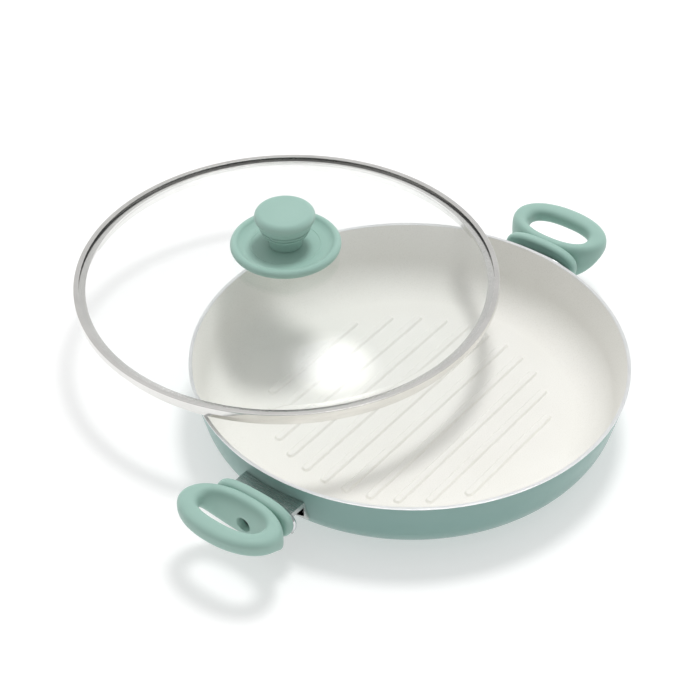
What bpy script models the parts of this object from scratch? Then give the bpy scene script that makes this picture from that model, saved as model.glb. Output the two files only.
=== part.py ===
"""Round ribbed griddle pan with two loop handles and a domed glass lid.

Metres, +Z up. The origin is the centre of the pan's underside, on the table. The handles lie along X.
The lid stands beside its closed place, level and just above the rim, and slides along LID_DIRECTION.
"""

import math

import bmesh
import bpy
from mathutils import Matrix, Vector

MM = 0.001

# ---- driving dimensions, in millimetres and degrees ----
GAP = 0.3                  # between pieces that touch on the real object
ROUND_STEPS = 64           # facets round the pan and the lid
SMALL_STEPS = 32           # facets round the knob
SCREW_STEPS = 20           # facets round screws, washers and seals

PAN_RADIUS = 150.0         # outside, at the rim
PAN_HEIGHT = 50.0
PAN_WALL = 2.4
PAN_FLOOR = 4.0
WALL_DRAFT = 13.5          # lean of the side wall from the vertical
WALL_FILLET_SHARE = 0.6    # radius between the wall and the base, as a share of the height

RIB_PITCH = 16.8
RIB_WIDTH = 7.0
RIB_HEIGHT = 1.4
RIB_MARGIN = 16.4          # from the ends of the ribs to the edge of the flat floor
RIB_ROOT = 0.8             # how far a rib is sunk into the floor

BRACKET_LENGTH = 48.0      # along the rim
BRACKET_REACH = 8.0        # from the rim's radius out to the bracket's front face
BRACKET_TOP = 13.0         # below the rim
BRACKET_HEIGHT = 18.0
BRACKET_LIP = 4.0          # height of the short side walls
SHEET = 1.8
CUT_OVERRUN = 1.0          # how far a cutter runs past the faces it opens

STUD_RADIUS = 2.5
STUD_HEAD_RADIUS = 4.5
STUD_HEAD_HEIGHT = 2.0
STUD_SPACING = 28.0
STUD_DROP = 22.0           # below the rim

SHIELD_LENGTH = 58.0
SHIELD_HEIGHT = 22.0
SHIELD_THICKNESS = 3.2
SHIELD_DROP = 19.5

COLLAR_LENGTH = 60.0
COLLAR_HEIGHT = 28.0
COLLAR_THICKNESS = 7.5
COLLAR_DROP = 15.5
COLLAR_SINK = 3.0          # how far the loop runs into the collar

LOOP_LENGTH = 76.5
LOOP_WIDTH = 45.5
LOOP_BAR = 13.2            # outer bar, seen from above
LOOP_SHOULDER = 10.8       # inner bar, next to the collar
LOOP_END_BAR = 13.6
LOOP_TOP_DROP = 3.0        # below the rim, next to the collar
LOOP_TOP_RISE = 4.0        # from there out to the outer bar
LOOP_INNER_HEIGHT = 32.0
LOOP_OUTER_HEIGHT = 11.6
LOOP_WALL_EASE = 0.2       # softness of the change from the tall inner wall to the outer bar
LOOP_OUTSIDE_POWER = 2.1   # squareness of the loop's outline; 2 is an ellipse
LOOP_OPENING_POWER = 2.5
LOOP_SECTION_POWER = 2.9

SCREW_DROP = 22.0          # handle screw's axis, below the rim
SCREW_RADIUS = 2.4
SCREW_HEAD_RADIUS = 5.0
SCREW_HEAD_HEIGHT = 3.2
SCREW_TIP_GAP = 2.0        # between the screw's tip and the stud line
WASHER_THICKNESS = 1.0
COUNTERBORE_DEPTH = 9.0
HOLE_CLEARANCE = 0.4
SCREW_SLOT_LENGTH = 5.4
SCREW_SLOT_WIDTH = 1.2
SLOT_DEPTH = 1.6
NUT_ACROSS_FLATS = 8.0
NUT_THICKNESS = 4.0

LID_OFFSET = 112.4         # from the closed place, over the pan's centre
LID_DIRECTION = 86.7       # from +X
LID_CLEARANCE = 0.4        # between the rim and the lid's lip
LID_OVERHANG = 0.2         # of the band past the rim's radius
LIP_CLEARANCE = 1.0        # between the lip and the pan's wall, with the lid closed
LIP_DEPTH = 8.0
BAND_SHEET = 0.6
BAND_FLANGE = 3.0          # underside flange, inwards from the lip
BAND_COVER = 3.6           # top lip, over the glass edge
GLASS_THICKNESS = 3.2
GLASS_RISE = 26.7          # outside, above the band's underside
GLASS_FLAT = 5.5           # flat edge that the band grips
GLASS_FILLET = 14.0
GLASS_HOLE = 4.0

SEAL_RADIUS = 13.0
SEAL_THICKNESS = 1.2
SKIRT_RADIUS = 38.9
SKIRT_BEAD = 3.1
SKIRT_FLOOR = 3.0
SKIRT_DISH_RADIUS = 31.0
GRIP_RADIUS = 21.2
GRIP_FOOT_RADIUS = 11.5
GRIP_STEPS = ((15.8, 9.8), (17.4, 13.2), (18.6, 16.5))   # radius and height of each step of the neck
GRIP_STEP_RISE = 0.6
GRIP_HEIGHT = 27.5
GRIP_DISC = 8.4
INSERT_RADIUS = 3.8
INSERT_LENGTH = 12.0
KNOB_SCREW_RADIUS = 2.0
KNOB_HEAD_RADIUS = 5.0
KNOB_HEAD_HEIGHT = 3.0
KNOB_WASHER_RADIUS = 7.5
KNOB_SCREW_TIP_GAP = 1.5   # between the screw's tip and the end of the insert
KNOB_SLOT_LENGTH = 5.2
KNOB_SLOT_WIDTH = 1.2

# ---- derived sizes ----
DRAFT = math.radians(WALL_DRAFT)
WALL_FILLET = WALL_FILLET_SHARE * PAN_HEIGHT
FILLET_TOP = WALL_FILLET * (1 - math.sin(DRAFT))
FLAT_RADIUS = PAN_RADIUS - math.tan(DRAFT) * (PAN_HEIGHT - FILLET_TOP) - WALL_FILLET * math.cos(DRAFT)
INNER_RADIUS = PAN_RADIUS - PAN_WALL / math.cos(DRAFT)
RIB_FIELD_RADIUS = FLAT_RADIUS - RIB_MARGIN
RIBS_EACH_SIDE = int((RIB_FIELD_RADIUS - RIB_WIDTH) / RIB_PITCH)
BRACKET_FRONT = PAN_RADIUS + BRACKET_REACH
SHIELD_BACK = BRACKET_FRONT + GAP
COLLAR_BACK = SHIELD_BACK + SHIELD_THICKNESS + GAP
LOOP_BACK = COLLAR_BACK + COLLAR_THICKNESS - COLLAR_SINK
OPENING_BACK = LOOP_BACK + LOOP_SHOULDER
OPENING_WIDTH = LOOP_WIDTH - LOOP_SHOULDER - LOOP_BAR
OPENING_LENGTH = LOOP_LENGTH - 2 * LOOP_END_BAR
STUD_ENDS = ((-1, "front"), (1, "rear"))
STUD_WALL_RADIUS = PAN_RADIUS - math.tan(DRAFT) * STUD_DROP
COUNTERBORE_SEAT = OPENING_BACK - COUNTERBORE_DEPTH
COUNTERBORE_RADIUS = SCREW_HEAD_RADIUS + HOLE_CLEARANCE
SCREW_BORE = SCREW_RADIUS + HOLE_CLEARANCE
LID_RADIUS = PAN_RADIUS + LID_OVERHANG
LIP_RADIUS = INNER_RADIUS - math.tan(DRAFT) * LIP_DEPTH - LIP_CLEARANCE
BAND_UNDERSIDE = PAN_HEIGHT + LID_CLEARANCE + LIP_DEPTH
BAND_HEIGHT = 2 * BAND_SHEET + 2 * GAP + GLASS_THICKNESS
GLASS_EDGE = LID_RADIUS - BAND_SHEET - GAP
GLASS_UNDERSIDE = BAND_SHEET + GAP
GLASS_BOTTOM_APEX = GLASS_RISE - GLASS_THICKNESS
SKIRT_BASE = GLASS_RISE + 2 * GAP + SEAL_THICKNESS
GRIP_BASE = SKIRT_BASE + SKIRT_FLOOR + GAP


def clear_scene():
    for thing in list(bpy.data.objects):
        bpy.data.objects.remove(thing, do_unlink=True)


def material(name, colour, roughness, metallic=0.0, transmission=0.0):
    made = bpy.data.materials.new(name)
    made.use_nodes = True
    shader = made.node_tree.nodes["Principled BSDF"]
    shader.inputs["Base Color"].default_value = (*colour, 1.0)
    shader.inputs["Roughness"].default_value = roughness
    shader.inputs["Metallic"].default_value = metallic
    shader.inputs["Transmission Weight"].default_value = transmission
    return made


def add_object(name, mesh_builder, finish=None, parent=None, place=None):
    """Turns a bmesh in millimetres into a named object with outward normals."""
    bmesh.ops.remove_doubles(mesh_builder, verts=mesh_builder.verts, dist=0.0005)
    bmesh.ops.recalc_face_normals(mesh_builder, faces=mesh_builder.faces)
    bmesh.ops.scale(mesh_builder, vec=(MM, MM, MM), verts=mesh_builder.verts)
    mesh = bpy.data.meshes.new(name)
    mesh_builder.to_mesh(mesh)
    mesh_builder.free()
    mesh.shade_smooth()
    mesh.set_sharp_from_angle(angle=math.radians(35))
    made = bpy.data.objects.new(name, mesh)
    bpy.context.scene.collection.objects.link(made)
    if finish:
        mesh.materials.append(finish)
    if parent:
        made.parent = parent
    if place:
        made.matrix_local = place
    return made


def add_frame(name, location=(0, 0, 0), turn=0.0):
    frame = bpy.data.objects.new(name, None)
    frame.location = Vector(location) * MM
    frame.rotation_euler[2] = math.radians(turn)
    bpy.context.scene.collection.objects.link(frame)
    return frame


def use_boolean(target, tool, operation="DIFFERENCE"):
    tool.hide_render = True
    tool.display_type = "WIRE"
    modifier = target.modifiers.new(tool.name, "BOOLEAN")
    modifier.operation = operation
    modifier.solver = "EXACT"
    modifier.object = tool


def arc(centre, radius, start, end, steps):
    """Points on an arc in the (r, z) plane; angles in degrees from +r."""
    points = []
    for i in range(steps + 1):
        angle = math.radians(start + (end - start) * i / steps)
        points.append((centre[0] + radius * math.cos(angle), centre[1] + radius * math.sin(angle)))
    return points


def lathe(profile, steps, into=None):
    """Turns a closed outline of (r, z) points about the Z axis."""
    builder = into or bmesh.new()
    rings = []
    for r, z in profile:
        if r < 1e-6:
            rings.append([builder.verts.new((0, 0, z))])
            continue
        ring = []
        for i in range(steps):
            angle = 2 * math.pi * i / steps
            ring.append(builder.verts.new((r * math.cos(angle), r * math.sin(angle), z)))
        rings.append(ring)
    for a, b in zip(rings, rings[1:] + rings[:1]):
        if len(a) == 1 and len(b) == 1:
            continue
        for i in range(steps):
            j = (i + 1) % steps
            corners = [a[i % len(a)], a[j % len(a)], b[j % len(b)], b[i % len(b)]]
            unique = list(dict.fromkeys(corners))
            builder.faces.new(unique)
    return builder


def tube(bore, radius, low, high, steps=SCREW_STEPS):
    """A ring about Z, or a solid cylinder when the bore is 0."""
    return lathe([(bore, low), (radius, low), (radius, high), (bore, high)], steps)


def screw_profile(radius, length, head_radius, head_height):
    """From the tip at z = 0, with the head's seat at z = length."""
    return [
        (0, 0),
        (radius * 0.7, 0),
        (radius, radius / 2),
        (radius, length),
        (head_radius, length),
        (head_radius, length + head_height * 0.5),
        (head_radius * 0.8, length + head_height * 0.85),
        (head_radius * 0.5, length + head_height),
        (0, length + head_height),
    ]


def loft(sections, close=False):
    """Joins closed rings of points, each a list of vectors of the same length."""
    builder = bmesh.new()
    rings = [[builder.verts.new(p) for p in section] for section in sections]
    pairs = list(zip(rings, rings[1:]))
    if close:
        pairs.append((rings[-1], rings[0]))
    for a, b in pairs:
        for i in range(len(a)):
            j = (i + 1) % len(a)
            builder.faces.new((a[i], a[j], b[j], b[i]))
    if not close:
        builder.faces.new(rings[0])
        builder.faces.new(reversed(rings[-1]))
    return builder


def box(low, high):
    builder = bmesh.new()
    bmesh.ops.create_cube(builder, size=1.0)
    size = Vector(high) - Vector(low)
    centre = (Vector(high) + Vector(low)) / 2
    bmesh.ops.scale(builder, vec=size, verts=builder.verts)
    bmesh.ops.translate(builder, vec=centre, verts=builder.verts)
    return builder


def along_x(drop, start=0.0):
    """Places a piece turned about Z so that its axis runs out along +X, at this depth below the rim."""
    return Matrix.Translation(Vector((start, 0, PAN_HEIGHT - drop)) * MM) @ Matrix.Rotation(math.pi / 2, 4, "Y")


# ---- pan ----

def outer_profile(growth=0.0, steps=6):
    """Rim to base, outside, moved outwards by growth."""
    points = arc((FLAT_RADIUS, WALL_FILLET), WALL_FILLET + growth, -WALL_DRAFT, -90, steps)
    return [(PAN_RADIUS + growth / math.cos(DRAFT), PAN_HEIGHT)] + points


def inner_profile(steps=6):
    """Floor to rim, inside."""
    radius = WALL_FILLET - PAN_WALL
    points = arc((FLAT_RADIUS, PAN_FLOOR + radius), radius, -90, -WALL_DRAFT, steps)
    return points + [(INNER_RADIUS, PAN_HEIGHT)]


def rib_section(half_length, half_width, height, steps=3):
    """A round-ended outline round one rib at one level."""
    points = []
    for side in (1, -1):
        for i in range(2 * steps + 1):
            angle = math.radians(-90 + 90 * i / steps)
            x = side * (half_length - half_width + half_width * math.cos(angle))
            points.append(Vector((x, side * half_width * math.sin(angle), height)))
    return points


def make_ribs():
    """All ribs in one helper, to be joined to the pan."""
    tool = bmesh.new()
    levels = ((1.0, -RIB_ROOT), (0.9, 0.5 * RIB_HEIGHT), (0.45, RIB_HEIGHT))
    for i in range(-RIBS_EACH_SIDE, RIBS_EACH_SIDE + 1):
        across = i * RIB_PITCH
        half_length = math.sqrt(RIB_FIELD_RADIUS**2 - across**2)
        sections = []
        for share, height in levels:
            half_width = share * RIB_WIDTH / 2
            inset = (1 - share) * RIB_WIDTH / 2
            sections.append(rib_section(half_length - inset, half_width, PAN_FLOOR + height))
        rib = loft(sections)
        bmesh.ops.translate(rib, vec=(0, across, 0), verts=rib.verts)
        mesh = bpy.data.meshes.new("rib")
        rib.to_mesh(mesh)
        rib.free()
        tool.from_mesh(mesh)
        bpy.data.meshes.remove(mesh)
    return add_object("rib_tool", tool)


def make_pan(finish):
    profile = [(0, 0)] + outer_profile()[::-1] + inner_profile()[::-1] + [(0, PAN_FLOOR)]
    pan = add_object("pan_body", lathe(profile, ROUND_STEPS), finish)
    use_boolean(pan, make_ribs(), "UNION")


# ---- handle, built along +X and turned into place by its frame ----

def pan_cutter(name, growth, frame):
    """The pan's outside, grown, and closed above the rim."""
    outside = outer_profile(growth)
    lid = PAN_HEIGHT + CUT_OVERRUN
    profile = [(0, outside[-1][1]), *reversed(outside), (outside[0][0], lid), (0, lid)]
    return add_object(name, lathe(profile, ROUND_STEPS), parent=frame)


def make_bracket(side, frame, finish):
    """A sheet-metal bridge: a top plate, a front plate and a back plate that follows the wall."""
    top = PAN_HEIGHT - BRACKET_TOP
    bottom = top - BRACKET_HEIGHT
    half = BRACKET_LENGTH / 2
    deep = PAN_RADIUS / 2
    blank = box((deep, -half, bottom), (BRACKET_FRONT, half, top))
    bracket = add_object(f"{side}_bracket", blank, finish, frame)
    use_boolean(bracket, pan_cutter(f"{side}_wall_tool", GAP, frame))
    front = BRACKET_FRONT - SHEET
    back = deep - CUT_OVERRUN
    under = bottom - CUT_OVERRUN
    wide = half + CUT_OVERRUN
    pocket = box((back, SHEET - half, under), (front, half - SHEET, top - SHEET))
    sides = box((back, -wide, under), (front, wide, top - BRACKET_LIP))
    for word, builder in (("pocket", pocket), ("side", sides)):
        tool = add_object(f"{side}_{word}_tool", builder, parent=frame)
        use_boolean(tool, pan_cutter(f"{side}_{word}_wall_tool", GAP + SHEET, frame))
        use_boolean(bracket, tool)
    ends = (front - CUT_OVERRUN, BRACKET_FRONT + CUT_OVERRUN)
    use_boolean(bracket, cross_hole(f"{side}_screw_hole_tool", SCREW_BORE, *ends, frame))
    bore = STUD_RADIUS + HOLE_CLEARANCE
    for end, word in STUD_ENDS:
        hole = tube(0, bore, -CUT_OVERRUN, SHEET + 2 * GAP + CUT_OVERRUN)
        use_boolean(bracket, add_object(f"{side}_{word}_hole_tool", hole, None, frame, stud_place(end)))


def stud_place(end):
    """On the pan's wall, with +Z along the wall's outward normal."""
    height = PAN_HEIGHT - STUD_DROP
    radius = STUD_WALL_RADIUS
    turn = math.asin(end * STUD_SPACING / 2 / radius)
    tilt = math.pi / 2 + DRAFT
    spin = Matrix.Rotation(turn, 4, "Z")
    return spin @ Matrix.Translation(Vector((radius, 0, height)) * MM) @ Matrix.Rotation(tilt, 4, "Y")


def make_studs(side, frame, finish):
    neck = 2 * GAP + SHEET
    profile = [
        (0, GAP),
        (STUD_RADIUS, GAP),
        (STUD_RADIUS, neck),
        (STUD_HEAD_RADIUS, neck),
        (STUD_HEAD_RADIUS * 0.94, neck + STUD_HEAD_HEIGHT * 0.5),
        (STUD_HEAD_RADIUS * 0.6, neck + STUD_HEAD_HEIGHT * 0.9),
        (0, neck + STUD_HEAD_HEIGHT),
    ]
    for end, word in STUD_ENDS:
        add_object(f"{side}_{word}_stud", lathe(profile, SCREW_STEPS), finish, frame, stud_place(end))


def oval(length, height, thickness, edge, power=2.6, steps=28, levels=3):
    """A flat oval slab standing across X, from x = 0 out to its thickness, with rounded edges."""
    rounding = []
    for i in range(levels + 1):
        angle = math.pi / 2 * i / levels
        rounding.append((edge * (1 - math.sin(angle)), edge * (1 - math.cos(angle))))
    rounding += [(inset, thickness - x) for inset, x in reversed(rounding)]
    rings = []
    for inset, x in rounding:
        ring = []
        for k in range(steps):
            angle = 2 * math.pi * k / steps
            y, z = rounded(angle, length / 2 - inset, height / 2 - inset, power)
            ring.append(Vector((x, y, z)))
        rings.append(ring)
    return loft(rings)


def cross_hole(name, radius, start, end, frame):
    """A cutter along the handle screw's axis, between two distances from the pan's centre."""
    return add_object(name, tube(0, radius, 0, end - start), None, frame, along_x(SCREW_DROP, start))


def make_shield(side, frame, finish):
    shield = oval(SHIELD_LENGTH, SHIELD_HEIGHT, SHIELD_THICKNESS, 0.45 * SHIELD_THICKNESS)
    place = Matrix.Translation(Vector((SHIELD_BACK, 0, PAN_HEIGHT - SHIELD_DROP)) * MM)
    shield = add_object(f"{side}_heat_shield", shield, finish, frame, place)
    ends = (SHIELD_BACK - CUT_OVERRUN, COLLAR_BACK + CUT_OVERRUN)
    use_boolean(shield, cross_hole(f"{side}_shield_hole_tool", SCREW_BORE, *ends, frame))


def rounded(angle, across, up, power):
    """A point on a squared-off ellipse."""
    c, s = math.cos(angle), math.sin(angle)
    return across * math.copysign(abs(c) ** (2 / power), c), up * math.copysign(abs(s) ** (2 / power), s)


def make_loop(path_steps=40, section_steps=12):
    """The grip's closed loop: a rounded bar swept between an outer and an inner oval."""
    outer_centre = LOOP_BACK + LOOP_WIDTH / 2
    inner_centre = OPENING_BACK + OPENING_WIDTH / 2
    sections = []
    for k in range(path_steps):
        angle = 2 * math.pi * k / path_steps
        outside = Vector((*rounded(angle, LOOP_WIDTH / 2, LOOP_LENGTH / 2, LOOP_OUTSIDE_POWER), 0))
        inside = Vector((*rounded(angle, OPENING_WIDTH / 2, OPENING_LENGTH / 2, LOOP_OPENING_POWER), 0))
        outside.x += outer_centre
        inside.x += inner_centre
        middle = (outside + inside) / 2
        reach = (outside - inside) / 2
        share = (middle.x - LOOP_BACK) / LOOP_WIDTH
        inwards = -math.cos(angle)
        blend = (inwards + math.hypot(inwards, LOOP_WALL_EASE)) / 2
        height = LOOP_OUTER_HEIGHT + (LOOP_INNER_HEIGHT - LOOP_OUTER_HEIGHT) * blend
        middle.z = PAN_HEIGHT - LOOP_TOP_DROP + LOOP_TOP_RISE * share - height / 2
        ring = []
        for i in range(section_steps):
            turn = 2 * math.pi * i / section_steps
            across, up = rounded(turn, 1, height / 2, LOOP_SECTION_POWER)
            ring.append(middle + reach * across + Vector((0, 0, up)))
        sections.append(ring)
    return loft(sections, close=True)


def make_grip(side, frame, finish):
    grip = add_object(f"{side}_grip", make_loop(), finish, frame)
    collar = oval(COLLAR_LENGTH, COLLAR_HEIGHT, COLLAR_THICKNESS, 0.42 * COLLAR_THICKNESS)
    place = Matrix.Translation(Vector((COLLAR_BACK, 0, PAN_HEIGHT - COLLAR_DROP)) * MM)
    use_boolean(grip, add_object(f"{side}_collar_tool", collar, None, frame, place), "UNION")
    ends = (COUNTERBORE_SEAT, OPENING_BACK + LOOP_BAR / 2)
    use_boolean(grip, cross_hole(f"{side}_counterbore_tool", COUNTERBORE_RADIUS, *ends, frame))
    ends = (COLLAR_BACK - CUT_OVERRUN, COUNTERBORE_SEAT + CUT_OVERRUN)
    use_boolean(grip, cross_hole(f"{side}_grip_hole_tool", SCREW_BORE, *ends, frame))


def cut_cross(target, name, length, width, depth, frame, place):
    """Cuts a cross recess into a screw head, down from the local origin."""
    for word, x, y in (("a", length / 2, width / 2), ("b", width / 2, length / 2)):
        slot = add_object(f"{name}_{word}", box((-x, -y, -depth), (x, y, CUT_OVERRUN)), None, frame, place)
        use_boolean(target, slot)


def make_handle_fixings(side, frame, steel):
    rim = SCREW_HEAD_RADIUS * 0.94
    washer = tube(SCREW_RADIUS + HOLE_CLEARANCE / 2, rim, 0, WASHER_THICKNESS)
    place = along_x(SCREW_DROP, COUNTERBORE_SEAT + GAP)
    add_object(f"{side}_spring_washer", washer, steel, frame, place)

    head = COUNTERBORE_SEAT + 2 * GAP + WASHER_THICKNESS
    tip = STUD_WALL_RADIUS + 2 * GAP + SHEET + STUD_HEAD_HEIGHT + SCREW_TIP_GAP
    profile = screw_profile(SCREW_RADIUS, head - tip, SCREW_HEAD_RADIUS, SCREW_HEAD_HEIGHT)
    place = along_x(SCREW_DROP, tip)
    screw = add_object(f"{side}_handle_screw", lathe(profile, SCREW_STEPS), steel, frame, place)
    place = along_x(SCREW_DROP, head + SCREW_HEAD_HEIGHT)
    cut_cross(screw, f"{side}_slot_tool", SCREW_SLOT_LENGTH, SCREW_SLOT_WIDTH, SLOT_DEPTH, frame, place)

    corner = NUT_ACROSS_FLATS / math.sqrt(3)
    back = BRACKET_FRONT - SHEET - GAP - NUT_THICKNESS
    hexagon = tube(0, corner, 0, NUT_THICKNESS, 6)
    nut = add_object(f"{side}_weld_nut", hexagon, steel, frame, along_x(SCREW_DROP, back))
    ends = (back - CUT_OVERRUN, back + NUT_THICKNESS + CUT_OVERRUN)
    use_boolean(nut, cross_hole(f"{side}_nut_hole_tool", SCREW_RADIUS + GAP, *ends, frame))


def make_handle(side, turn, finishes):
    frame = add_frame(f"{side}_handle_frame", turn=turn)
    make_bracket(side, frame, finishes["steel"])
    make_studs(side, frame, finishes["aluminium"])
    make_shield(side, frame, finishes["steel"])
    make_grip(side, frame, finishes["mint"])
    make_handle_fixings(side, frame, finishes["screw"])


# ---- lid, built about its own axis with z = 0 on the band's underside ----

def glass_surface(lift):
    """Edge to apex of the glass, moved outwards by lift from its underside."""
    flat_radius = GLASS_EDGE - GLASS_FLAT
    flat_height = GLASS_UNDERSIDE + GLASS_THICKNESS
    drop = flat_height + GLASS_FILLET - GLASS_RISE
    dome = (flat_radius**2 + drop**2 - GLASS_FILLET**2) / (2 * (GLASS_FILLET - drop))
    dome_centre = GLASS_RISE - dome
    fillet_centre = (flat_radius, flat_height + GLASS_FILLET)
    meet = math.degrees(math.atan2(fillet_centre[1] - dome_centre, flat_radius))
    inwards = GLASS_THICKNESS - lift
    last = math.degrees(math.acos(GLASS_HOLE / (dome - inwards)))
    fillet = arc(fillet_centre, GLASS_FILLET + inwards, -90, meet - 180, 3)
    cap = arc((0, dome_centre), dome - inwards, meet, last, 8)
    return [(GLASS_EDGE, flat_height - inwards)] + fillet + cap[1:]


def make_glass(frame, finish):
    profile = glass_surface(0) + glass_surface(GLASS_THICKNESS)[::-1]
    add_object("glass_lid", lathe(profile, ROUND_STEPS), finish, frame)


def make_band(frame, finish):
    """Rolled steel band: a channel round the glass edge, with a lip hanging inside the rim."""
    outside = LID_RADIUS
    lip = LIP_RADIUS
    flange = lip - BAND_FLANGE
    cover = outside - BAND_COVER
    profile = [
        (cover, BAND_HEIGHT),
        (cover, BAND_HEIGHT - BAND_SHEET),
        (outside - BAND_SHEET, BAND_HEIGHT - BAND_SHEET),
        (outside - BAND_SHEET, BAND_SHEET),
        (flange, BAND_SHEET),
        (flange, 0),
        (lip - BAND_SHEET, 0),
        (lip - BAND_SHEET, -LIP_DEPTH),
        (lip, -LIP_DEPTH),
        (lip, 0),
        (outside - BAND_SHEET, 0),
        (outside, BAND_SHEET),
        (outside, BAND_HEIGHT - BAND_SHEET),
        (outside - BAND_SHEET, BAND_HEIGHT),
    ]
    add_object("lid_band", lathe(profile, ROUND_STEPS), finish, frame)


def make_knob(frame, finishes):
    bore = KNOB_SCREW_RADIUS + HOLE_CLEARANCE
    bead = (SKIRT_RADIUS - SKIRT_BEAD, SKIRT_BEAD)
    dish = SKIRT_DISH_RADIUS
    profile = [(bore, 0), (dish, 0)] + arc(bead, SKIRT_BEAD, -90, 150, 10)
    profile += [(dish, SKIRT_FLOOR + 0.5), (dish - 1.5, SKIRT_FLOOR)]
    profile += [(bore, SKIRT_FLOOR)]
    place = Matrix.Translation((0, 0, SKIRT_BASE * MM))
    add_object("knob_skirt", lathe(profile, SMALL_STEPS), finishes["mint"], frame, place)

    disc_edge = GRIP_DISC / 2
    disc = (GRIP_RADIUS - disc_edge, GRIP_HEIGHT - disc_edge)
    socket = INSERT_RADIUS + GAP
    socket_top = INSERT_LENGTH + 2 * GAP
    profile = [(socket, 0), (GRIP_FOOT_RADIUS, 0)]
    for radius, height in GRIP_STEPS:
        profile += [(profile[-1][0] + GRIP_STEP_RISE, height - GRIP_STEP_RISE), (radius, height)]
    profile += arc(disc, disc_edge, -60, 90, 8)
    profile += [(0, GRIP_HEIGHT), (0, socket_top), (socket, socket_top)]
    place = Matrix.Translation((0, 0, GRIP_BASE * MM))
    add_object("knob_grip", lathe(profile, SMALL_STEPS), finishes["mint"], frame, place)

    insert = tube(KNOB_SCREW_RADIUS + GAP, INSERT_RADIUS, 0, INSERT_LENGTH)
    place = Matrix.Translation((0, 0, (GRIP_BASE + GAP) * MM))
    add_object("knob_insert", insert, finishes["brass"], frame, place)

    place = Matrix.Translation((0, 0, (GLASS_RISE + GAP) * MM))
    upper = tube(GLASS_HOLE, SEAL_RADIUS, 0, SEAL_THICKNESS)
    add_object("upper_seal", upper, finishes["silicone"], frame, place)
    level = GLASS_BOTTOM_APEX - GAP - SEAL_THICKNESS
    lower = tube(bore, KNOB_WASHER_RADIUS + 1, level, level + SEAL_THICKNESS)
    add_object("lower_seal", lower, finishes["silicone"], frame)
    level -= GAP + WASHER_THICKNESS
    washer = tube(bore, KNOB_WASHER_RADIUS, level, level + WASHER_THICKNESS)
    add_object("knob_washer", washer, finishes["screw"], frame)

    level -= GAP
    length = GRIP_BASE + GAP + INSERT_LENGTH - KNOB_SCREW_TIP_GAP - level
    profile = screw_profile(KNOB_SCREW_RADIUS, length, KNOB_HEAD_RADIUS, KNOB_HEAD_HEIGHT)
    place = Matrix.Translation((0, 0, (level + length) * MM)) @ Matrix.Rotation(math.pi, 4, "X")
    screw = add_object("knob_screw", lathe(profile, SCREW_STEPS), finishes["screw"], frame, place)
    place = Matrix.Translation((0, 0, (level - KNOB_HEAD_HEIGHT) * MM)) @ Matrix.Rotation(math.pi, 4, "X")
    cut_cross(screw, "knob_slot_tool", KNOB_SLOT_LENGTH, KNOB_SLOT_WIDTH, SLOT_DEPTH, frame, place)


def make_lid(finishes):
    direction = math.radians(LID_DIRECTION)
    where = (LID_OFFSET * math.cos(direction), LID_OFFSET * math.sin(direction), BAND_UNDERSIDE)
    frame = add_frame("lid_frame", where)
    make_glass(frame, finishes["glass"])
    make_band(frame, finishes["steel"])
    make_knob(frame, finishes)


def main():
    clear_scene()
    finishes = {
        "enamel": material("enamel", (0.27, 0.50, 0.44), 0.25),
        "mint": material("mint", (0.36, 0.60, 0.51), 0.5),
        "steel": material("steel", (0.72, 0.72, 0.72), 0.22, 1.0),
        "screw": material("screw", (0.32, 0.33, 0.34), 0.35, 1.0),
        "aluminium": material("aluminium", (0.78, 0.79, 0.80), 0.35, 1.0),
        "brass": material("brass", (0.75, 0.58, 0.28), 0.3, 1.0),
        "silicone": material("silicone", (0.62, 0.64, 0.63), 0.6),
        "glass": material("glass", (0.93, 0.97, 0.96), 0.03, 0.0, 1.0),
    }
    make_pan(finishes["enamel"])
    make_handle("right", 0, finishes)
    make_handle("left", 180, finishes)
    make_lid(finishes)


main()
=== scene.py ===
"""The looks of a round griddle pan with two loop handles and a domed glass lid.

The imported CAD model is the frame. The pan, ribs, handle loops, heat shields, glass, band and knob are finer
meshes that stand for their CAD nodes. Brackets, studs, screws, washers, nuts, the brass insert and the seals
keep their CAD shape and get a finish. Sizes are in millimetres and become metres where a mesh is made.
"""

import math

import bmesh
import bpy
from mathutils import Matrix, Vector


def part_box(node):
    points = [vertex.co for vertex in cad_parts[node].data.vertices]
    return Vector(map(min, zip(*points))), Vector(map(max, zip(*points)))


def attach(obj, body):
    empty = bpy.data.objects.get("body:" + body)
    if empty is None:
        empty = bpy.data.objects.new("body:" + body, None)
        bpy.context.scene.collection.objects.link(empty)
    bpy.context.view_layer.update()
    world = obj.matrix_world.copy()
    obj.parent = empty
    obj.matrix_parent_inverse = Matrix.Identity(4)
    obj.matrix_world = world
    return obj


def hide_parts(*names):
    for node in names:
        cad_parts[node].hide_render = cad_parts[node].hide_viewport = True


MM = 0.001

# ---- mesh fineness ----
LATHE_STEPS = 192
KNOB_STEPS = 128
OVAL_STEPS = 96
OVAL_EDGE_STEPS = 8
LOOP_PATH_STEPS = 120
LOOP_SECTION_STEPS = 40
ROD_STEPS = 48
ARC_STEPS = 24
GLASS_FILLET_STEPS = 12
DOME_STEPS = 36
RIB_FLANK_STEPS = 10
RIB_END_STEPS = 12
CORNER_STEPS = 4
CORNER_REACH = 0.45        # most of an edge that one rounded corner takes
ON_AXIS = 1e-6             # a lathe point nearer the axis than this is a single point
MERGE_WITHIN = 0.0005
CUT_PAST = 1.0             # how far a cutter reaches past what it cuts

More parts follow.
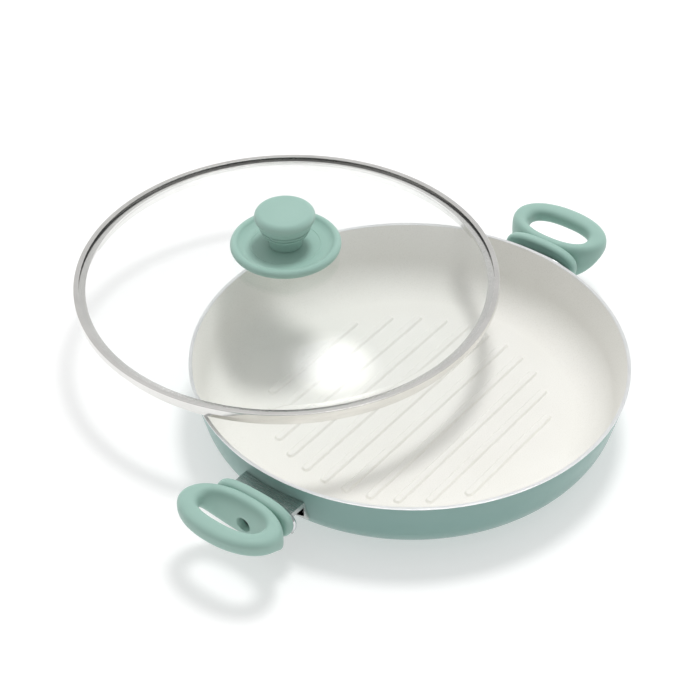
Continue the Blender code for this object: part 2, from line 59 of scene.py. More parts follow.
# ---- pan: sizes that a bounding box can't give ----
WALL = 2.4
FLOOR = 4.0
DRAFT = math.radians(13.5)
FILLET_SHARE = 0.6         # of the pan's height
RIM_EDGE = 0.45            # chamfer along the rim's two corners
RIM_OUTER_EASE = 0.4       # extra point on each chamfer, as shares of it
RIM_INNER_EASE = 0.2
RIM_EASE_DROP = 0.12
OUTSIDE, INSIDE, RIM = 0, 1, 2   # order of the finishes on the pan

RIB_PITCH = 16.8
RIB_WIDTH = 7.0
RIB_TOP_WIDTH = 3.6
RIB_HEIGHT = 1.4
RIB_MARGIN = 16.4
RIB_ROOT = 0.05            # sunk into the floor
RIB_CROWN = (0.6, 0.2)     # rings on the flat top, as shares of its width
RIBS_EACH_SIDE = 5

# ---- handles ----
LOOP_LENGTH = 76.5
LOOP_WIDTH = 45.5
LOOP_BAR = 13.2
LOOP_SHOULDER = 10.8
LOOP_END_BAR = 13.6
LOOP_TOP_DROP = 3.0
LOOP_TOP_RISE = 4.0
LOOP_INNER_HEIGHT = 32.0
LOOP_OUTER_HEIGHT = 11.6
LOOP_WALL_EASE = 0.2       # how softly the tall inner wall runs out into the ends
LOOP_OUTSIDE_POWER = 2.1   # squareness of each outline: 2 is an ellipse
LOOP_OPENING_POWER = 2.5
LOOP_SECTION_POWER = 2.9
OVAL_POWER = 2.6
COLLAR_LENGTH = 60.0
COLLAR_HEIGHT = 28.0
COLLAR_THICKNESS = 7.5
COLLAR_EDGE_SHARE = 0.42   # edge rounding, as a share of the thickness
COLLAR_DROP = 15.5
COLLAR_SINK = 3.0
SHIELD_LENGTH = 58.0
SHIELD_HEIGHT = 22.0
SHIELD_EDGE_SHARE = 0.45
SHIELD_DROP = 19.5
SCREW_DROP = 22.0
COUNTERBORE_RADIUS = 5.4
COUNTERBORE_DEPTH = 9.0
SCREW_BORE = 2.8

# ---- lid ----
BAND_SHEET = 0.6
BAND_COVER = 3.6
BAND_CORNER = 0.5
LIP_DEPTH = 8.0
LIP_SET_IN = 5.6           # outside of the lip, from the band's outside
BAND_FLANGE = 3.0
GLASS_THICKNESS = 3.2
GLASS_FLAT = 5.5           # flat margin of the glass, under the band
GLASS_FILLET = 14.0        # between the margin and the dome
GLASS_HOLE = 4.0
KNOB_BORE = 2.4
SKIRT_BEAD = 3.1
SKIRT_BEAD_END = 150       # degrees, where the bead meets the dish
SKIRT_FLOOR = 3.0
SKIRT_DISH_RADIUS = 31.0
SKIRT_COVE = ((0.6, 0.9), (-0.6, 0.25), (-2.2, 0.0))   # out from the dish's edge, up from its floor
SKIRT_RING = ((25.2, 0.0), (24.8, 0.25), (24.2, 0.25), (23.8, 0.0))   # radius, up from the dish's floor
GRIP_FOOT_RADIUS = 11.5
GRIP_STEPS = ((15.8, 9.8), (17.4, 13.2), (18.6, 16.5))   # radius and height of each step of the neck
GRIP_FLARE = 0.6           # how far the neck widens before the groove under a step
GROOVE_START = 1.8         # heights of that groove, down from the step
GROOVE_BOTTOM = 1.44
GROOVE_TOP = 0.72
STEP_EDGE_IN = 0.3
STEP_EDGE_DROP = 0.4
GRIP_DISC = 8.4            # thickness of the disc on top
GRIP_DISC_START = -60      # degrees, where the neck meets the disc
SOCKET_RADIUS = 4.1
SOCKET_DEPTH = 12.6

# ---- camera and lights ----
CAMERA_PLACE = (-0.7906, -0.5636, 0.8636)
CAMERA_HEADING = 52.13     # degrees from +Y towards +X
CAMERA_DIP = 39.84
CAMERA_ROLL = -0.49
CAMERA_LENS = 95.66
CAMERA_SENSOR = 36.0
KEY_PLACE = (0.659, 0.130, 2.25)
KEY_SIZE = 0.6
KEY_POWER = 23.5
STUDIO_SIZE = 14
FLOOR_GLOW = 0.46
SKY = (                    # height, strength
    (0, 1.4),
    (0.12, 1.3),
    (0.3, 0.85),
    (0.6, 0.68),
    (0.8, 0.92),
    (1.0, 1.2),
)
SKY_BACK = (0.39, 0.31, 0.0)   # towards the bright side of the sky, SKY_REACH long
SKY_REACH = 0.5
SKY_DARKEST = 0.34         # share of the sky's strength left on its dark side
GLOW_TOWARDS = (0.362, 0.145, 0.921)   # soft patch of sky, where the key light's reflection would be
GLOW = ((0.9885, 0.0), (0.9945, 1.0), (0.9985, 6.0))   # closeness to that direction, strength
MIX_FIRST, MIX_SECOND, MIX_RESULT = 6, 7, 2   # colour sockets of a Mix node


# ---- mesh building ----

def shown(name, builder, finishes, body=None, replaced=None, sharp=32):
    """Turns a bmesh in millimetres into a piece that rides on a CAD body."""
    bmesh.ops.remove_doubles(builder, verts=builder.verts, dist=MERGE_WITHIN)
    bmesh.ops.recalc_face_normals(builder, faces=builder.faces)
    bmesh.ops.scale(builder, vec=(MM, MM, MM), verts=builder.verts)
    mesh = bpy.data.meshes.new(name)
    builder.to_mesh(mesh)
    builder.free()
    mesh.shade_smooth()
    mesh.set_sharp_from_angle(angle=math.radians(sharp))
    piece = bpy.data.objects.new(name, mesh)
    bpy.context.scene.collection.objects.link(piece)
    for finish in finishes:
        mesh.materials.append(finish)
    if body:
        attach(piece, body)
    if replaced:
        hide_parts(replaced)
    return piece


def arc(centre, radius, start, end, steps):
    """Points on an arc in the (r, z) plane; angles in degrees from +r."""
    points = []
    for i in range(steps + 1):
        angle = math.radians(start + (end - start) * i / steps)
        points.append((centre[0] + radius * math.cos(angle), centre[1] + radius * math.sin(angle)))
    return points


def softened(outline, radius):
    """A closed outline with every corner rounded."""
    points = []
    count = len(outline)
    for i, corner in enumerate(outline):
        corner = Vector(corner)
        before = Vector(outline[i - 1]) - corner
        after = Vector(outline[(i + 1) % count]) - corner
        reach = min(radius, before.length * CORNER_REACH, after.length * CORNER_REACH)
        start = corner + before.normalized() * reach
        end = corner + after.normalized() * reach
        for k in range(CORNER_STEPS + 1):
            t = k / CORNER_STEPS
            points.append(tuple(start * (1 - t) ** 2 + corner * 2 * t * (1 - t) + end * t**2))
    return points


def lathe(profile, steps, centre=(0, 0, 0), slots=None):
    """Turns a closed outline of (r, z) points about a vertical axis."""
    builder = bmesh.new()
    rings = []
    for r, z in profile:
        if r < ON_AXIS:
            rings.append([builder.verts.new((centre[0], centre[1], centre[2] + z))])
            continue
        ring = []
        for i in range(steps):
            angle = 2 * math.pi * i / steps
            x, y = centre[0] + r * math.cos(angle), centre[1] + r * math.sin(angle)
            ring.append(builder.verts.new((x, y, centre[2] + z)))
        rings.append(ring)
    for index, (a, b) in enumerate(zip(rings, rings[1:] + rings[:1])):
        if len(a) == 1 and len(b) == 1:
            continue
        for i in range(steps):
            j = (i + 1) % steps
            corners = [a[i % len(a)], a[j % len(a)], b[j % len(b)], b[i % len(b)]]
            face = builder.faces.new(list(dict.fromkeys(corners)))
            if slots:
                face.material_index = slots[index]
    return builder


def loft(builder, sections, close=False):
    """Adds closed rings of points, joined one to the next."""
    rings = [[builder.verts.new(p) for p in section] for section in sections]
    pairs = list(zip(rings, rings[1:]))
    if close:
        pairs.append((rings[-1], rings[0]))
    for a, b in pairs:
        for i in range(len(a)):
            j = (i + 1) % len(a)
            builder.faces.new((a[i], a[j], b[j], b[i]))
    if not close:
        builder.faces.new(rings[0])
        builder.faces.new(reversed(rings[-1]))


def cut(piece, builder):
    """Cuts a closed bmesh in millimetres out of a piece and keeps the result as its mesh."""
    tool = shown("cutter", builder, [])
    modifier = piece.modifiers.new("cut", "BOOLEAN")
    modifier.solver = "EXACT"
    modifier.object = tool
    made = bpy.data.meshes.new_from_object(piece.evaluated_get(bpy.context.evaluated_depsgraph_get()))
    piece.modifiers.remove(modifier)
    made.name = piece.data.name
    piece.data = made
    bpy.data.objects.remove(tool)


def squared(angle, across, up, power):
    """A point on a squared-off ellipse."""
    c, s = math.cos(angle), math.sin(angle)
    return across * math.copysign(abs(c) ** (2 / power), c), up * math.copysign(abs(s) ** (2 / power), s)


# ---- materials ----

class Finish:
    """A node material that starts from one Principled shader and the piece's own coordinates."""

    def __init__(self, name, **sockets):
        self.material = bpy.data.materials.new(name)
        self.material.use_nodes = True
        self.nodes = self.material.node_tree.nodes
        self.links = self.material.node_tree.links
        self.shader = self.nodes["Principled BSDF"]
        self.place = self.nodes.new("ShaderNodeTexCoord").outputs["Object"]
        for socket, value in sockets.items():
            self.shader.inputs[socket.replace("_", " ")].default_value = value

    def noise(self, scale, detail, roughness=0.5, stretch=(1, 1, 1)):
        mapping = self.nodes.new("ShaderNodeMapping")
        mapping.inputs["Scale"].default_value = stretch
        self.links.new(self.place, mapping.inputs["Vector"])
        node = self.nodes.new("ShaderNodeTexNoise")
        node.inputs["Scale"].default_value = scale
        node.inputs["Detail"].default_value = detail
        node.inputs["Roughness"].default_value = roughness
        self.links.new(mapping.outputs["Vector"], node.inputs["Vector"])
        return node.outputs["Fac"]

    def rings(self, centre, count_per_metre, wobble=0.0):
        """0 to 1 waves in distance from a vertical axis, as turning or rolling leaves them."""
        offset = self.nodes.new("ShaderNodeVectorMath")
        offset.operation = "SUBTRACT"
        offset.inputs[1].default_value = centre
        self.links.new(self.place, offset.inputs[0])
        flat = self.nodes.new("ShaderNodeVectorMath")
        flat.operation = "MULTIPLY"
        flat.inputs[1].default_value = (1, 1, 0)
        self.links.new(offset.outputs[0], flat.inputs[0])
        wave = self.nodes.new("ShaderNodeTexWave")
        wave.wave_type = "RINGS"
        wave.rings_direction = "SPHERICAL"
        wave.inputs["Scale"].default_value = count_per_metre
        wave.inputs["Distortion"].default_value = wobble
        wave.inputs["Detail"].default_value = 2
        self.links.new(flat.outputs[0], wave.inputs["Vector"])
        return wave.outputs["Fac"]

    def ramp(self, source, low, high, start=0.3, end=0.7):
        """Maps a 0 to 1 source to a colour or grey between two values."""
        node = self.nodes.new("ShaderNodeValToRGB")
        for element, value, place in zip(node.color_ramp.elements, (low, high), (start, end)):
            element.position = place
            element.color = (value,) * 3 + (1,) if isinstance(value, float) else (*value, 1)
        self.links.new(source, node.inputs["Fac"])
        return node.outputs["Color"]

    def multiply(self, first, second):
        node = self.nodes.new("ShaderNodeMix")
        node.data_type = "RGBA"
        node.blend_type = "MULTIPLY"
        node.inputs["Factor"].default_value = 1.0
        self.links.new(first, node.inputs[MIX_FIRST])
        self.links.new(second, node.inputs[MIX_SECOND])
        return node.outputs[MIX_RESULT]

    def set(self, socket, source):
        self.links.new(source, self.shader.inputs[socket])

    def bump(self, height, strength, depth_mm):
        node = self.nodes.new("ShaderNodeBump")
        node.inputs["Strength"].default_value = strength
        node.inputs["Distance"].default_value = depth_mm * MM
        self.links.new(height, node.inputs["Height"])
        self.links.new(node.outputs["Normal"], self.shader.inputs["Normal"])


def enamel_finish():
    """Sprayed satin enamel: nearly even colour with a fine orange peel."""
    made = Finish("enamel_outside", Coat_Weight=0.25, Coat_Roughness=0.12)
    tint = made.ramp(made.noise(scale=22, detail=4), (0.220, 0.387, 0.352), (0.239, 0.410, 0.373))
    made.set("Base Color", tint)
    made.set("Roughness", made.ramp(made.noise(scale=140, detail=3), 0.30, 0.38))
    made.bump(made.noise(scale=520, detail=2), strength=0.18, depth_mm=0.12)
    return made.material


def ceramic_finish():
    """Cream ceramic non-stick coating: faint mottling, very fine grain."""
    made = Finish("ceramic_inside", Specular_IOR_Level=0.3)
    mottle = made.ramp(made.noise(scale=16, detail=5), (0.860, 0.850, 0.806), (0.880, 0.872, 0.834))
    speckle = made.noise(scale=1500, detail=2)
    grain = made.ramp(speckle, (0.94, 0.94, 0.93), (1.0, 1.0, 1.0), start=0.36, end=0.5)
    made.set("Base Color", made.multiply(mottle, grain))
    made.set("Roughness", made.ramp(made.noise(scale=90, detail=4), 0.40, 0.50))
    made.bump(made.noise(scale=420, detail=3), strength=0.12, depth_mm=0.10)
    return made.material


def bare_rim_finish():
    """Turned bare aluminium along the top edge of the wall."""
    made = Finish("bare_rim", Metallic=1.0)
    made.set("Base Color", made.ramp(made.noise(scale=60, detail=3), (0.88, 0.89, 0.90), (0.94, 0.95, 0.95)))
    made.set("Roughness", made.ramp(made.noise(scale=300, detail=3), 0.32, 0.42))
    made.bump(made.rings((0, 0, 0), 900), strength=0.25, depth_mm=0.05)
    return made.material


def soft_touch_finish():
    """Mint moulded phenolic with a soft-touch skin."""
    made = Finish("mint_soft_touch", Sheen_Weight=0.12, Sheen_Roughness=0.4)
    tint = made.ramp(made.noise(scale=30, detail=4), (0.325, 0.508, 0.446), (0.350, 0.534, 0.471))
    made.set("Base Color", tint)
    made.set("Roughness", made.ramp(made.noise(scale=240, detail=3), 0.42, 0.52))
    made.bump(made.noise(scale=2600, detail=2), strength=0.22, depth_mm=0.05)
    return made.material


def steel_finish(name, gloss, tint, centre, per_metre):
    """Stainless steel with turning marks round an axis; gloss and tint are ranges of roughness and colour."""
    made = Finish(name, Metallic=1.0)
    made.set("Base Color", made.ramp(made.noise(scale=45, detail=3), *tint))
    made.set("Roughness", made.ramp(made.noise(scale=500, detail=3), *gloss))
    made.bump(made.rings(centre, per_metre, wobble=1.0), strength=0.15, depth_mm=0.03)
    return made.material


def brushed_steel_finish():
    """Sheet steel brushed along the handle's width, dulled by handling."""
    made = Finish("brushed_steel", Metallic=1.0, Anisotropic=0.4)
    made.set("Base Color", made.ramp(made.noise(scale=35, detail=4), (0.60, 0.61, 0.61), (0.72, 0.72, 0.71)))
    grain = made.noise(scale=260, detail=4, roughness=0.6, stretch=(12, 0.5, 12))
    made.set("Roughness", made.ramp(grain, 0.16, 0.34))
    made.bump(grain, strength=0.2, depth_mm=0.03)
    return made.material


def glass_finish():
    """Clear tempered glass that lets lamps through, with faint wipe marks in its gloss."""
    made = Finish("tempered_glass", Base_Color=(0.994, 1.0, 0.998, 1), Transmission_Weight=1.0, IOR=1.5)
    made.set("Roughness", made.ramp(made.noise(scale=9, detail=4, roughness=0.6), 0.0, 0.02))
    clear = made.nodes.new("ShaderNodeBsdfTransparent")
    clear.inputs["Color"].default_value = (0.985, 0.990, 0.988, 1)
    rays = made.nodes.new("ShaderNodeLightPath")
    surface = made.shader.outputs[0]
    for kind in ("Is Diffuse Ray", "Is Shadow Ray"):
        mix = made.nodes.new("ShaderNodeMixShader")
        made.links.new(rays.outputs[kind], mix.inputs[0])
        made.links.new(surface, mix.inputs[1])
        made.links.new(clear.outputs[0], mix.inputs[2])
        surface = mix.outputs[0]
    made.links.new(surface, made.nodes["Material Output"].inputs["Surface"])
    return made.material


def screw_finish():
    """Zinc-plated screw steel, dark, with a faint random mottle."""
    made = Finish("screw_steel", Metallic=1.0)
    made.set("Base Color", made.ramp(made.noise(scale=400, detail=4), (0.08, 0.09, 0.10), (0.16, 0.17, 0.18)))
    made.set("Roughness", made.ramp(made.noise(scale=900, detail=3), 0.28, 0.45))
    made.bump(made.noise(scale=1800, detail=2), strength=0.3, depth_mm=0.03)
    return made.material


def cast_metal_finish(name, dark, light):
    """Drawn soft metal: aluminium studs or the brass insert."""
    made = Finish(name, Metallic=1.0)
    made.set("Base Color", made.ramp(made.noise(scale=300, detail=4), dark, light))
    made.set("Roughness", made.ramp(made.noise(scale=700, detail=3), 0.30, 0.48))
    made.bump(made.noise(scale=1500, detail=2), strength=0.2, depth_mm=0.03)
    return made.material


def silicone_finish():
    """Translucent grey silicone with a powdery surface."""
    made = Finish("silicone", Subsurface_Weight=0.15)
    made.set("Base Color", made.ramp(made.noise(scale=200, detail=4), (0.56, 0.58, 0.57), (0.66, 0.68, 0.67)))
    made.set("Roughness", made.ramp(made.noise(scale=800, detail=3), 0.55, 0.7))
    made.bump(made.noise(scale=1700, detail=2), strength=0.3, depth_mm=0.04)
    return made.material


# ---- pan ----

def pan_profile(radius, height):
    """Outline from the underside's centre round the wall to the floor, with a material slot per step."""
    fillet = FILLET_SHARE * height
    fillet_top = fillet * (1 - math.sin(DRAFT))
    flat = radius - math.tan(DRAFT) * (height - fillet_top) - fillet * math.cos(DRAFT)
    draft = math.degrees(DRAFT)
    inner = radius - WALL / math.cos(DRAFT)
    outside = [(0, 0), (flat / 2, 0)] + arc((flat, fillet), fillet, -90, -draft, ARC_STEPS)
    outside.append((radius - RIM_EDGE * math.tan(DRAFT), height - RIM_EDGE))
    eased = height - RIM_EDGE * RIM_EASE_DROP
    rim = [(radius - RIM_EDGE * RIM_OUTER_EASE, eased), (radius - RIM_EDGE, height)]
    rim += [(inner + RIM_EDGE, height), (inner + RIM_EDGE * RIM_INNER_EASE, eased)]
    inside = [(inner - RIM_EDGE * math.tan(DRAFT), height - RIM_EDGE)]
    inside += arc((flat, fillet + FLOOR - WALL), fillet - WALL, -draft, -90, ARC_STEPS)
    inside += [(flat / 2, FLOOR), (0, FLOOR)]
    profile = outside + rim + inside
    slots = [OUTSIDE] * (len(outside) - 1) + [RIM] * (len(rim) + 1) + [INSIDE] * len(inside)
    return profile, slots, flat


def make_ribs(flat, finish):
    """Raised ribs with round ends, each a smooth hump that runs into the floor."""
    field = flat - RIB_MARGIN
    builder = bmesh.new()
    half = RIB_WIDTH / 2
    top = RIB_TOP_WIDTH / 2
    levels = [(half, -RIB_ROOT)]
    for k in range(1, RIB_FLANK_STEPS + 1):
        t = k / RIB_FLANK_STEPS
        ease = t * t * (3 - 2 * t)
        levels.append((half - (half - top) * t, RIB_HEIGHT * ease))
    levels += [(top * share, RIB_HEIGHT) for share in RIB_CROWN]
    for i in range(-RIBS_EACH_SIDE, RIBS_EACH_SIDE + 1):
        across = i * RIB_PITCH
        reach = math.sqrt(field**2 - across**2) - half
        sections = []
        for distance, rise in levels:
            ring = []
            for side in (1, -1):
                for n in range(RIB_END_STEPS + 1):
                    angle = math.radians(-90 + 180 * n / RIB_END_STEPS)
                    x = side * (reach + distance * math.cos(angle))
                    ring.append((x, across + side * distance * math.sin(angle), FLOOR + rise))
            sections.append(ring)
        loft(builder, sections)
    shown("pan_ribs", builder, [finish], "pan", sharp=50)


def make_pan(enamel, ceramic, rim):
    low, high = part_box("pan_body")
    radius, height = high.x / MM, high.z / MM
    profile, slots, flat = pan_profile(radius, height)
    shown("pan", lathe(profile, LATHE_STEPS, slots=slots), [enamel, ceramic, rim], "pan", replaced="pan_body")
    make_ribs(flat, ceramic)
    return height


# ---- handles ----

def oval(builder, x, length, height, level, thickness, edge):
    """A flat oval slab standing across X, from x outwards, with rounded edges."""
    rounding = []
    for i in range(OVAL_EDGE_STEPS + 1):
        angle = math.pi / 2 * i / OVAL_EDGE_STEPS
        rounding.append((edge * (1 - math.sin(angle)), edge * (1 - math.cos(angle))))
    rounding += [(inset, thickness - depth) for inset, depth in reversed(rounding)]
    sections = []
    for inset, depth in rounding:
        ring = []
        for k in range(OVAL_STEPS):
            y, z = squared(2 * math.pi * k / OVAL_STEPS, length / 2 - inset, height / 2 - inset, OVAL_POWER)
            ring.append((x + depth, y, level + z))
        sections.append(ring)
    loft(builder, sections)


def loop(builder, back, rim):
    """The closed hand loop: a rounded bar swept between an outer and an inner oval."""
    opening_back = back + LOOP_SHOULDER
    opening_width = LOOP_WIDTH - LOOP_SHOULDER - LOOP_BAR
    opening_length = LOOP_LENGTH - 2 * LOOP_END_BAR
    sections = []
    for k in range(LOOP_PATH_STEPS):
        angle = 2 * math.pi * k / LOOP_PATH_STEPS
        outside = Vector((*squared(angle, LOOP_WIDTH / 2, LOOP_LENGTH / 2, LOOP_OUTSIDE_POWER), 0))
        inside = Vector((*squared(angle, opening_width / 2, opening_length / 2, LOOP_OPENING_POWER), 0))
        outside.x += back + LOOP_WIDTH / 2
        inside.x += opening_back + opening_width / 2
        middle = (outside + inside) / 2
        reach = (outside - inside) / 2
        share = (middle.x - back) / LOOP_WIDTH
        inwards = -math.cos(angle)
        blend = (inwards + math.hypot(inwards, LOOP_WALL_EASE)) / 2
        height = LOOP_OUTER_HEIGHT + (LOOP_INNER_HEIGHT - LOOP_OUTER_HEIGHT) * blend
        middle.z = rim - LOOP_TOP_DROP + LOOP_TOP_RISE * share - height / 2
        ring = []
        for i in range(LOOP_SECTION_STEPS):
            around = 2 * math.pi * i / LOOP_SECTION_STEPS
            across, up = squared(around, 1, height / 2, LOOP_SECTION_POWER)
            ring.append(middle + reach * across + Vector((0, 0, up)))
        sections.append(ring)
    loft(builder, sections, close=True)


def rod(start, end, level, radius):
    """A closed cylinder along X, as a cutter."""
    builder = bmesh.new()
    angles = [2 * math.pi * i / ROD_STEPS for i in range(ROD_STEPS)]
    circle = [(radius * math.cos(angle), radius * math.sin(angle)) for angle in angles]
    loft(builder, [[(x, y, level + z) for y, z in circle] for x in (start, end)])
    return builder


def turned(builder, side):
    """The same handle on the other side of the pan."""
    if side == "left":
        bmesh.ops.rotate(builder, matrix=Matrix.Rotation(math.pi, 3, "Z"), verts=builder.verts)
    return builder


def make_handle(side, rim, mint, polished):
    low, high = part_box(f"{side}_grip")
    back = min(abs(low.x), abs(high.x)) / MM
    loop_back = back + COLLAR_THICKNESS - COLLAR_SINK
    opening_back = loop_back + LOOP_SHOULDER
    builder = bmesh.new()
    loop(builder, loop_back, rim)
    grip = shown(f"{side}_handle_loop", turned(builder, side), [mint], "pan", sharp=60)
    level = rim - SCREW_DROP
    seat = opening_back - COUNTERBORE_DEPTH
    cut(grip, turned(rod(seat, opening_back + LOOP_BAR / 2, level, COUNTERBORE_RADIUS), side))
    cut(grip, turned(rod(back, seat + CUT_PAST, level, SCREW_BORE), side))
    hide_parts(f"{side}_grip")
    builder = bmesh.new()
    edge = COLLAR_EDGE_SHARE * COLLAR_THICKNESS
    oval(builder, back, COLLAR_LENGTH, COLLAR_HEIGHT, rim - COLLAR_DROP, COLLAR_THICKNESS, edge)
    collar = shown(f"{side}_handle_collar", turned(builder, side), [mint], "pan", sharp=60)
    through = rod(back - CUT_PAST, back + COLLAR_THICKNESS + CUT_PAST, level, SCREW_BORE)
    cut(collar, turned(through, side))

    low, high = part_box(f"{side}_heat_shield")
    start = min(abs(low.x), abs(high.x)) / MM
    thickness = (high.x - low.x) / MM
    builder = bmesh.new()
    edge = SHIELD_EDGE_SHARE * thickness
    oval(builder, start, SHIELD_LENGTH, SHIELD_HEIGHT, rim - SHIELD_DROP, thickness, edge)
    shield = shown(f"{side}_shield", turned(builder, side), [polished], "pan", sharp=60)
    through = rod(start - CUT_PAST, start + thickness + CUT_PAST, level, SCREW_BORE)
    cut(shield, turned(through, side))
    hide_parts(f"{side}_heat_shield")


# ---- lid ----

def glass_surface(lift, edge, rise, seat):
    """Edge to centre hole of the glass, moved outwards by lift from its underside."""
    flat_radius = edge - GLASS_FLAT
    flat_height = seat + GLASS_THICKNESS
    drop = flat_height + GLASS_FILLET - rise
    dome = (flat_radius**2 + drop**2 - GLASS_FILLET**2) / (2 * (GLASS_FILLET - drop))
    dome_centre = rise - dome
    fillet_centre = (flat_radius, flat_height + GLASS_FILLET)
    meet = math.degrees(math.atan2(fillet_centre[1] - dome_centre, flat_radius))
    inwards = GLASS_THICKNESS - lift
    last = math.degrees(math.acos(GLASS_HOLE / (dome - inwards)))
    fillet = arc(fillet_centre, GLASS_FILLET + inwards, -90, meet - 180, GLASS_FILLET_STEPS)
    cap = arc((0, dome_centre), dome - inwards, meet, last, DOME_STEPS)
    return [(edge, flat_height - inwards)] + fillet + cap[1:]


def make_glass(centre, finish):
    low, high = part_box("glass_lid")
    edge = (high.x - low.x) / 2 / MM
    seat = low.z / MM - centre[2]
    rise = high.z / MM - centre[2]
    underside = glass_surface(0, edge, rise, seat)
    outline = underside + glass_surface(GLASS_THICKNESS, edge, rise, seat)[::-1]
    shown("lid_glass", lathe(outline, LATHE_STEPS, centre), [finish], "lid", "glass_lid")


def make_band(centre, finish):
    """Rolled steel band: a channel round the glass edge, with a lip hanging inside the rim."""
    low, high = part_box("lid_band")
    outside = (high.x - low.x) / 2 / MM
    lip = outside - LIP_SET_IN
    flange = lip - BAND_FLANGE
    cover = outside - BAND_COVER
    top = high.z / MM - centre[2]
    outline = [
        (cover, top),
        (cover, top - BAND_SHEET),
        (outside - BAND_SHEET, top - BAND_SHEET),
        (outside - BAND_SHEET, BAND_SHEET),
        (flange, BAND_SHEET),
        (flange, 0),
        (lip - BAND_SHEET, 0),
        (lip - BAND_SHEET, -LIP_DEPTH),
        (lip, -LIP_DEPTH),
        (lip, 0),
        (outside, 0),
        (outside, top),
    ]
    band = lathe(softened(outline, BAND_CORNER), LATHE_STEPS, centre)
    shown("lid_rim", band, [finish], "lid", "lid_band")


def make_knob(centre, finish):
    low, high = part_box("knob_skirt")
    radius = (high.x - low.x) / 2 / MM
    base = (centre[0], centre[1], low.z / MM)
    bead = (radius - SKIRT_BEAD, SKIRT_BEAD)
    profile = [(KNOB_BORE, 0), (SKIRT_DISH_RADIUS, 0)]
    profile += arc(bead, SKIRT_BEAD, -90, SKIRT_BEAD_END, ARC_STEPS)
    profile += [(SKIRT_DISH_RADIUS + out, SKIRT_FLOOR + up) for out, up in SKIRT_COVE]
    profile += [(distance, SKIRT_FLOOR + up) for distance, up in SKIRT_RING]
    profile.append((KNOB_BORE, SKIRT_FLOOR))
    shown("knob_dish", lathe(profile, KNOB_STEPS, base), [finish], "lid", "knob_skirt")

    low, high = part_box("knob_grip")
    radius = (high.x - low.x) / 2 / MM
    height = (high.z - low.z) / MM
    base = (centre[0], centre[1], low.z / MM)
    half_disc = GRIP_DISC / 2
    profile = [(SOCKET_RADIUS, 0), (GRIP_FOOT_RADIUS, 0)]
    for step, level in GRIP_STEPS:
        neck = profile[-1][0]
        profile += [(neck + GRIP_FLARE, level - GROOVE_START), (neck, level - GROOVE_BOTTOM)]
        profile += [(neck, level - GROOVE_TOP), (step - STEP_EDGE_IN, level - STEP_EDGE_DROP), (step, level)]
    profile += arc((radius - half_disc, height - half_disc), half_disc, GRIP_DISC_START, 90, ARC_STEPS)
    profile += [(0, height), (0, SOCKET_DEPTH), (SOCKET_RADIUS, SOCKET_DEPTH)]
    shown("knob_handle", lathe(profile, KNOB_STEPS, base), [finish], "lid", "knob_grip")


# ---- CAD nodes that keep their shape ----

def paint_cad(frame, finishes):
    for name, finish in finishes.items():
        mesh = frame["nodes"][name].data
        mesh.materials.clear()
        mesh.materials.append(finish)


# ---- studio ----

def make_floor():
    bpy.ops.mesh.primitive_grid_add(x_subdivisions=8, y_subdivisions=8, size=STUDIO_SIZE)
    floor = bpy.context.object
    floor.name = "studio_floor"
    made = Finish("studio_white", Roughness=0.8, Specular_IOR_Level=0.1)
    made.set("Base Color", made.ramp(made.noise(scale=1.5, detail=2), (0.60, 0.60, 0.60), (0.61, 0.61, 0.61)))
    made.shader.inputs["Emission Color"].default_value = (1, 1, 1, 1)
    made.shader.inputs["Emission Strength"].default_value = FLOOR_GLOW
    floor.data.materials.append(made.material)


def make_key_light():
    """Soft lamp from above. The sky's glow stands for it in reflections and through the glass."""
    data = bpy.data.lights.new("key", "AREA")
    data.shape = "DISK"
    data.size = KEY_SIZE
    data.energy = KEY_POWER
    lamp = bpy.data.objects.new("key", data)
    lamp.location = KEY_PLACE
    lamp.rotation_euler = (-Vector(KEY_PLACE)).to_track_quat("-Z", "Y").to_euler()
    lamp.visible_glossy = lamp.visible_transmission = False
    bpy.context.scene.collection.objects.link(lamp)


def make_sky():
    """A soft overhead light with a pale horizon, a darker side and a soft bright patch."""
    world = bpy.data.worlds.new("studio")
    world.use_nodes = True
    nodes, links = world.node_tree.nodes, world.node_tree.links
    direction = nodes.new("ShaderNodeTexCoord").outputs["Generated"]

    def closeness(towards):
        node = nodes.new("ShaderNodeVectorMath")
        node.operation = "DOT_PRODUCT"
        node.inputs[1].default_value = towards
        links.new(direction, node.inputs[0])
        return node.outputs["Value"]

    def strengths(source, stops, interpolation="LINEAR"):
        node = nodes.new("ShaderNodeValToRGB")
        node.color_ramp.interpolation = interpolation
        elements = node.color_ramp.elements
        while len(elements) < len(stops):
            elements.new(0.5)
        for element, (place, strength) in zip(elements, stops):
            element.position = place
            element.color = (strength, strength, strength, 1)
        links.new(source, node.inputs["Fac"])
        return node.outputs["Color"]

    split = nodes.new("ShaderNodeSeparateXYZ")
    links.new(direction, split.inputs[0])
    share = nodes.new("ShaderNodeMapRange")
    share.inputs["From Min"].default_value = -SKY_REACH
    share.inputs["From Max"].default_value = SKY_REACH
    share.inputs["To Min"].default_value = SKY_DARKEST
    links.new(closeness(SKY_BACK), share.inputs["Value"])
    sided = nodes.new("ShaderNodeVectorMath")
    sided.operation = "SCALE"
    links.new(strengths(split.outputs["Z"], SKY), sided.inputs[0])
    links.new(share.outputs["Result"], sided.inputs["Scale"])
    total = nodes.new("ShaderNodeMix")
    total.data_type = "RGBA"
    total.blend_type = "ADD"
    total.inputs["Factor"].default_value = 1.0
    links.new(sided.outputs["Vector"], total.inputs[MIX_FIRST])
    links.new(strengths(closeness(GLOW_TOWARDS), GLOW, "EASE"), total.inputs[MIX_SECOND])
    links.new(total.outputs[MIX_RESULT], nodes["Background"].inputs["Color"])
    return world


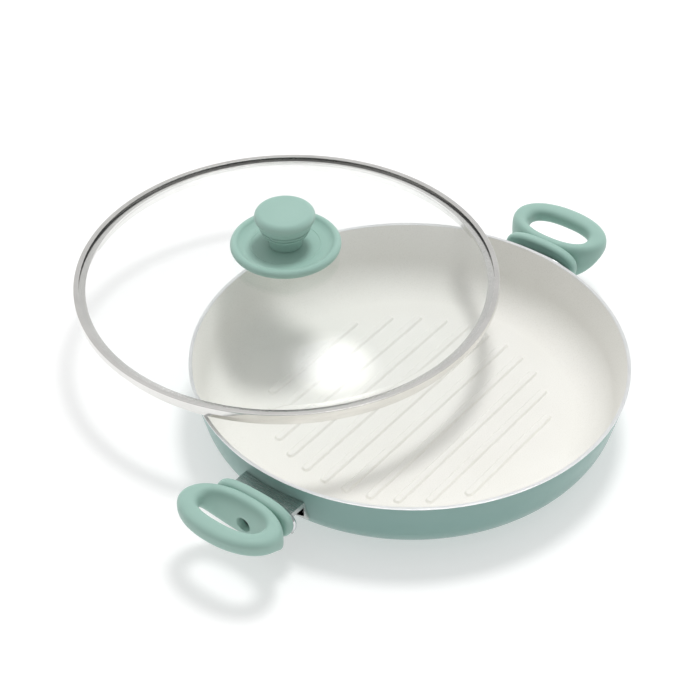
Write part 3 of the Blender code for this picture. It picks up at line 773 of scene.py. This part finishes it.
def make_studio():
    make_floor()
    make_key_light()
    scene = bpy.context.scene
    scene.world = make_sky()
    scene.view_settings.view_transform = "Standard"

    data = bpy.data.cameras.new("camera")
    data.lens = CAMERA_LENS
    data.sensor_width = CAMERA_SENSOR
    camera = bpy.data.objects.new("camera", data)
    heading = Matrix.Rotation(math.radians(-CAMERA_HEADING), 4, "Z")
    dip = Matrix.Rotation(math.radians(90 - CAMERA_DIP), 4, "X")
    roll = Matrix.Rotation(math.radians(CAMERA_ROLL), 4, "Z")
    camera.matrix_world = Matrix.Translation(CAMERA_PLACE) @ heading @ dip @ roll
    scene.collection.objects.link(camera)
    scene.camera = camera


def corners(box):
    return [list(corner) for corner in box]


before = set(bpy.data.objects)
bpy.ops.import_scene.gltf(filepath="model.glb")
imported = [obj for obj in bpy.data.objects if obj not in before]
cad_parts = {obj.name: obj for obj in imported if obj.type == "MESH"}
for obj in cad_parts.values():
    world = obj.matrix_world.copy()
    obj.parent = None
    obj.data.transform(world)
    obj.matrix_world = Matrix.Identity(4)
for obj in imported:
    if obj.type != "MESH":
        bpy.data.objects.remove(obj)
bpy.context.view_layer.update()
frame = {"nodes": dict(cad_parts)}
make_studio()

band_low, band_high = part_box("lid_band")
lid_centre = (
    (band_low.x + band_high.x) / 2 / MM,
    (band_low.y + band_high.y) / 2 / MM,
    band_low.z / MM + LIP_DEPTH,
)
lid_axis = (lid_centre[0] * MM, lid_centre[1] * MM, 0)

mint = soft_touch_finish()
brushed = brushed_steel_finish()
band_tint = (0.76, 0.75, 0.73), (0.84, 0.83, 0.81)
shield_tint = (0.66, 0.67, 0.68), (0.78, 0.79, 0.80)
band_steel = steel_finish("band_steel", (0.10, 0.22), band_tint, lid_axis, 500)
shield_steel = steel_finish("shield_steel", (0.08, 0.18), shield_tint, (0, 0, 0), 400)
screw = screw_finish()
stud = cast_metal_finish("stud_aluminium", (0.66, 0.67, 0.68), (0.80, 0.81, 0.82))
brass = cast_metal_finish("insert_brass", (0.62, 0.45, 0.18), (0.75, 0.58, 0.28))
silicone = silicone_finish()

rim_height = make_pan(enamel_finish(), ceramic_finish(), bare_rim_finish())
for side in ("left", "right"):
    make_handle(side, rim_height, mint, shield_steel)
make_glass(lid_centre, glass_finish())
make_band(lid_centre, band_steel)
make_knob(lid_centre, mint)

kept = {"knob_insert": brass, "knob_screw": screw, "knob_washer": screw}
kept["upper_seal"] = kept["lower_seal"] = silicone
for side in ("left", "right"):
    kept[f"{side}_bracket"] = brushed
    kept[f"{side}_front_stud"] = kept[f"{side}_rear_stud"] = stud
    for word in ("spring_washer", "handle_screw", "weld_nut"):
        kept[f"{side}_{word}"] = screw
paint_cad(frame, kept)
